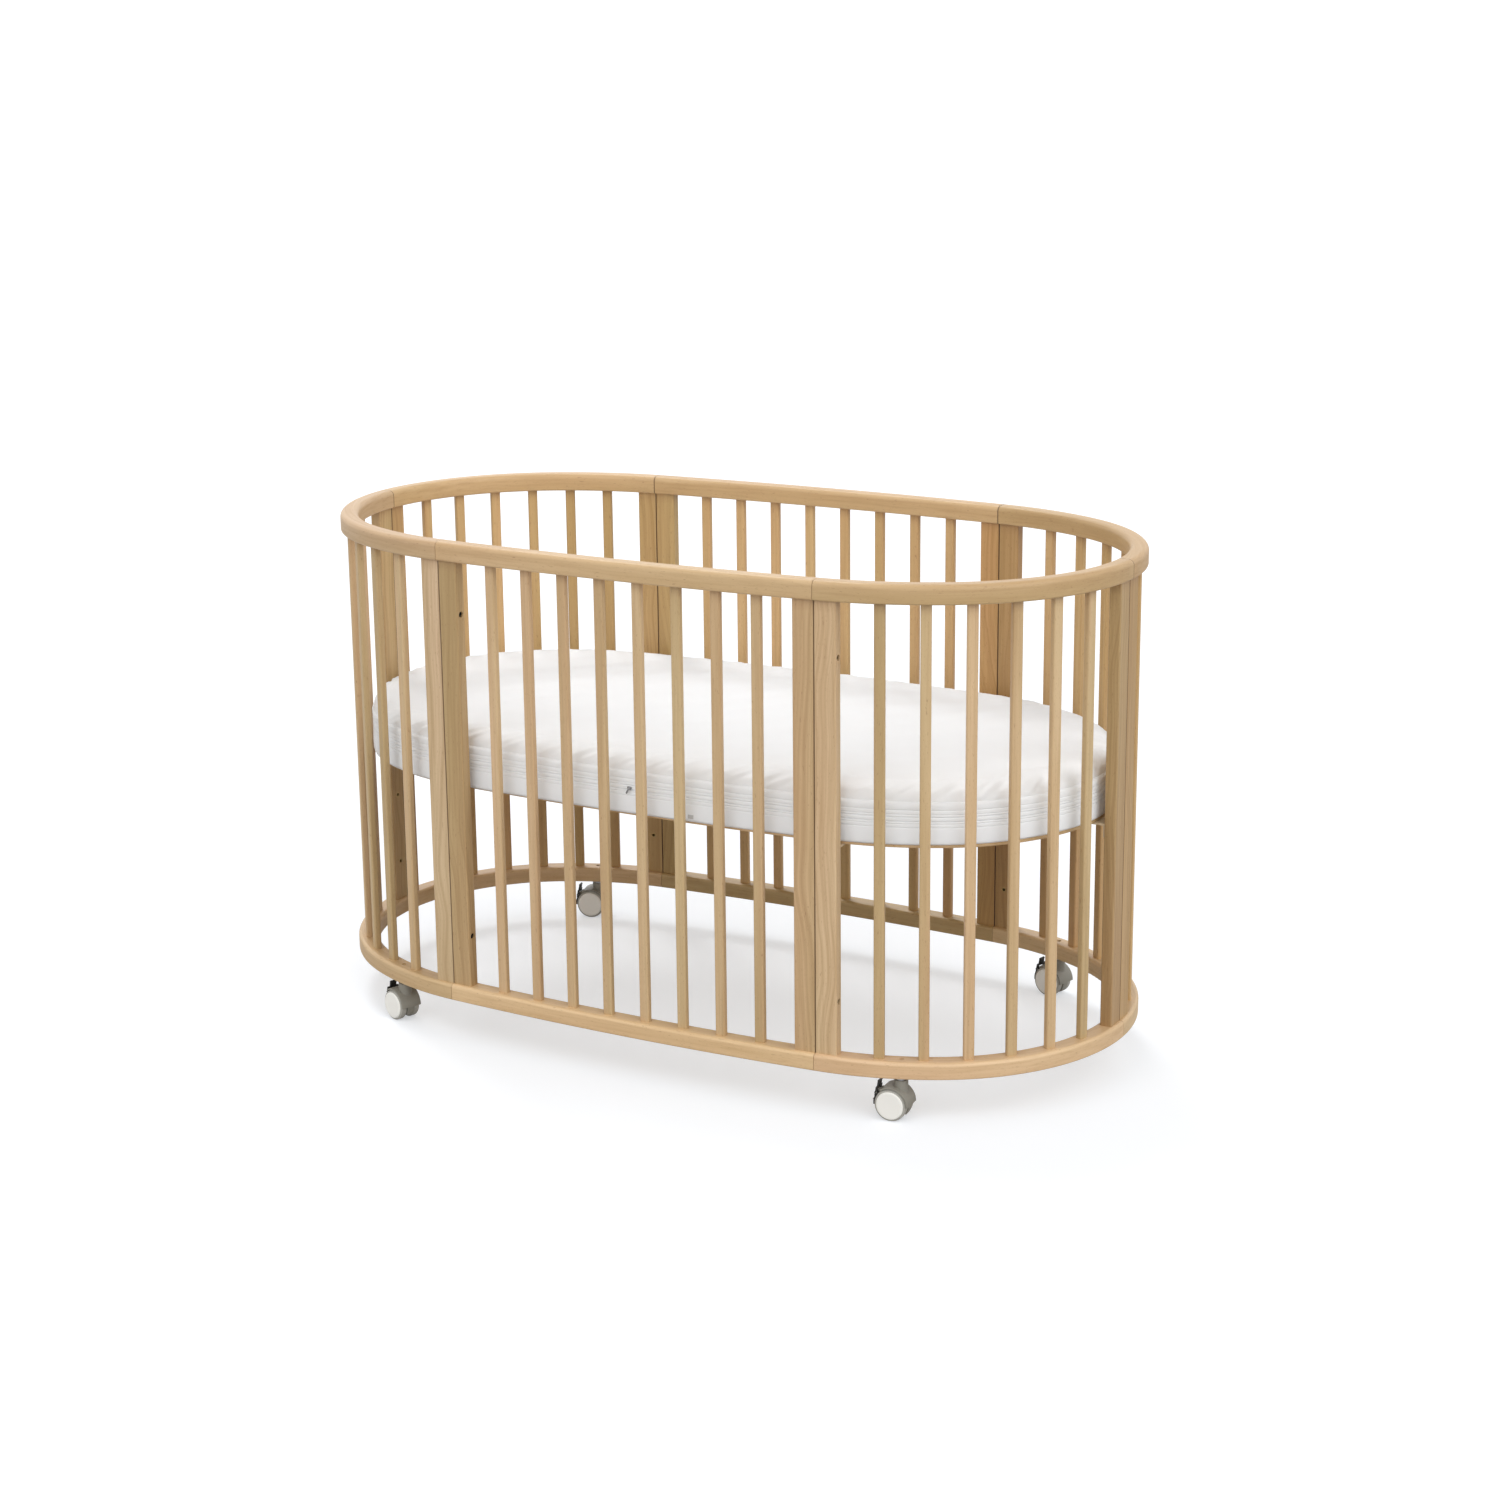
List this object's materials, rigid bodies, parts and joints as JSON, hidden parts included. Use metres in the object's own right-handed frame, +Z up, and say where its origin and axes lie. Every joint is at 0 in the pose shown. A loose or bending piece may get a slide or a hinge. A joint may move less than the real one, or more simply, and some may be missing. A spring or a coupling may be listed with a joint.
{
  "type": "baby crib",
  "caption": "Free-standing oval baby crib in light beech with vertical slats, a thick mattress on a raised base and swivelling braked casters.",
  "frame": {"origin": "on the floor under the middle of the crib", "axes": "+X along the crib's length, -Y towards the front side panel, +Z up"},
  "size_m": [1.4348, 0.742, 0.854],
  "materials": {
    "beech_rails": "clear matte lacquer on light beech",
    "beech_slats": "clear matte lacquer on light beech",
    "beech_boards": "clear matte lacquer on light beech",
    "base_plywood": "matte beech plywood",
    "batten_wood": "matte",
    "mattress_cover": "soft quilted white knit",
    "caster_wheel": "satin pale grey",
    "caster_housing": "satin warm grey",
    "brake_lever": "satin black",
    "zinc_steel": "zinc plated",
    "brass_inserts": "plain"
  },
  "bodies": {
    "crib_frame": {"front_side_top_rail": "beech_rails", "front_side_bottom_rail": "beech_rails", "front_side_slats": "beech_slats", "front_side_boards": "beech_boards", "back_side_top_rail": "beech_rails", "back_side_bottom_rail": "beech_rails", "back_side_slats": "beech_slats", "back_side_boards": "beech_boards", "front_left_top_rail": "beech_rails", "front_left_bottom_rail": "beech_rails", "front_left_slats": "beech_slats", "front_left_boards": "beech_boards", "front_right_top_rail": "beech_rails", "front_right_bottom_rail": "beech_rails", "front_right_slats": "beech_slats", "front_right_boards": "beech_boards", "back_left_top_rail": "beech_rails", "back_left_bottom_rail": "beech_rails", "back_left_slats": "beech_slats", "back_left_boards": "beech_boards", "back_right_top_rail": "beech_rails", "back_right_bottom_rail": "beech_rails", "back_right_slats": "beech_slats", "back_right_boards": "beech_boards", "joint_bolts": "zinc_steel", "joint_nuts": "zinc_steel", "threaded_inserts": "brass_inserts", "base_brackets": "zinc_steel", "bracket_screws": "zinc_steel", "base_screws": "zinc_steel", "base_left_plate": "base_plywood", "base_right_plate": "base_plywood", "base_batten": "batten_wood", "batten_screws": "zinc_steel", "stem_sockets": "zinc_steel", "caster_stems": "zinc_steel"},
    "mattress": {"mattress": "mattress_cover"},
    "front_left_swivel": {"front_left_caster_housing": "caster_housing"},
    "front_left_wheels": {"front_left_caster_axle": "zinc_steel", "front_left_outer_wheel": "caster_wheel", "front_left_inner_wheel": "caster_wheel"},
    "front_left_brake": {"front_left_brake_lever": "brake_lever"},
    "front_right_swivel": {"front_right_caster_housing": "caster_housing"},
    "front_right_wheels": {"front_right_caster_axle": "zinc_steel", "front_right_outer_wheel": "caster_wheel", "front_right_inner_wheel": "caster_wheel"},
    "front_right_brake": {"front_right_brake_lever": "brake_lever"},
    "back_left_swivel": {"back_left_caster_housing": "caster_housing"},
    "back_left_wheels": {"back_left_caster_axle": "zinc_steel", "back_left_outer_wheel": "caster_wheel", "back_left_inner_wheel": "caster_wheel"},
    "back_left_brake": {"back_left_brake_lever": "brake_lever"},
    "back_right_swivel": {"back_right_caster_housing": "caster_housing"},
    "back_right_wheels": {"back_right_caster_axle": "zinc_steel", "back_right_outer_wheel": "caster_wheel", "back_right_inner_wheel": "caster_wheel"},
    "back_right_brake": {"back_right_brake_lever": "brake_lever"}
  },
  "joints": [
    {"name": "front_left_swivel_turn", "type": "hinge", "parent": "crib_frame", "child": "front_left_swivel", "pos_m": [-0.47315, -0.313, 0.06], "axis": [0, 0, 1], "continuous": true},
    {"name": "front_left_wheels_roll", "type": "hinge", "parent": "front_left_swivel", "child": "front_left_wheels", "pos_m": [-0.48449, -0.3091, 0.026], "axis": [0.3256, 0.9455, 0], "continuous": true},
    {"name": "front_left_brake_rock", "type": "hinge", "parent": "front_left_swivel", "child": "front_left_brake", "pos_m": [-0.50906, -0.30064, 0.041], "axis": [0.3256, 0.9455, 0], "range_deg": [-1, 8]},
    {"name": "front_right_swivel_turn", "type": "hinge", "parent": "crib_frame", "child": "front_right_swivel", "pos_m": [0.47315, -0.313, 0.06], "axis": [0, 0, 1], "continuous": true},
    {"name": "front_right_wheels_roll", "type": "hinge", "parent": "front_right_swivel", "child": "front_right_wheels", "pos_m": [0.46118, -0.31384, 0.026], "axis": [-0.0698, 0.9976, 0], "continuous": true},
    {"name": "front_right_brake_rock", "type": "hinge", "parent": "front_right_swivel", "child": "front_right_brake", "pos_m": [0.43526, -0.31565, 0.041], "axis": [-0.0698, 0.9976, 0], "range_deg": [-1, 8]},
    {"name": "back_left_swivel_turn", "type": "hinge", "parent": "crib_frame", "child": "back_left_swivel", "pos_m": [-0.47315, 0.313, 0.06], "axis": [0, 0, 1], "continuous": true},
    {"name": "back_left_wheels_roll", "type": "hinge", "parent": "back_left_swivel", "child": "back_left_wheels", "pos_m": [-0.48468, 0.30969, 0.026], "axis": [-0.2756, 0.9613, 0], "continuous": true},
    {"name": "back_left_brake_rock", "type": "hinge", "parent": "back_left_swivel", "child": "back_left_brake", "pos_m": [-0.50966, 0.30253, 0.041], "axis": [-0.2756, 0.9613, 0], "range_deg": [-1, 8]},
    {"name": "back_right_swivel_turn", "type": "hinge", "parent": "crib_frame", "child": "back_right_swivel", "pos_m": [0.47315, 0.313, 0.06], "axis": [0, 0, 1], "continuous": true},
    {"name": "back_right_wheels_roll", "type": "hinge", "parent": "back_right_swivel", "child": "back_right_wheels", "pos_m": [0.46141, 0.3155, 0.026], "axis": [0.2079, 0.9781, 0], "continuous": true},
    {"name": "back_right_brake_rock", "type": "hinge", "parent": "back_right_swivel", "child": "back_right_brake", "pos_m": [0.436, 0.3209, 0.041], "axis": [0.2079, 0.9781, 0], "range_deg": [-1, 8]},
    {"name": "mattress_lift", "type": "slide", "parent": "crib_frame", "child": "mattress", "axis": [0, 0, 1], "range_m": [0, 0.42]}
  ]
}
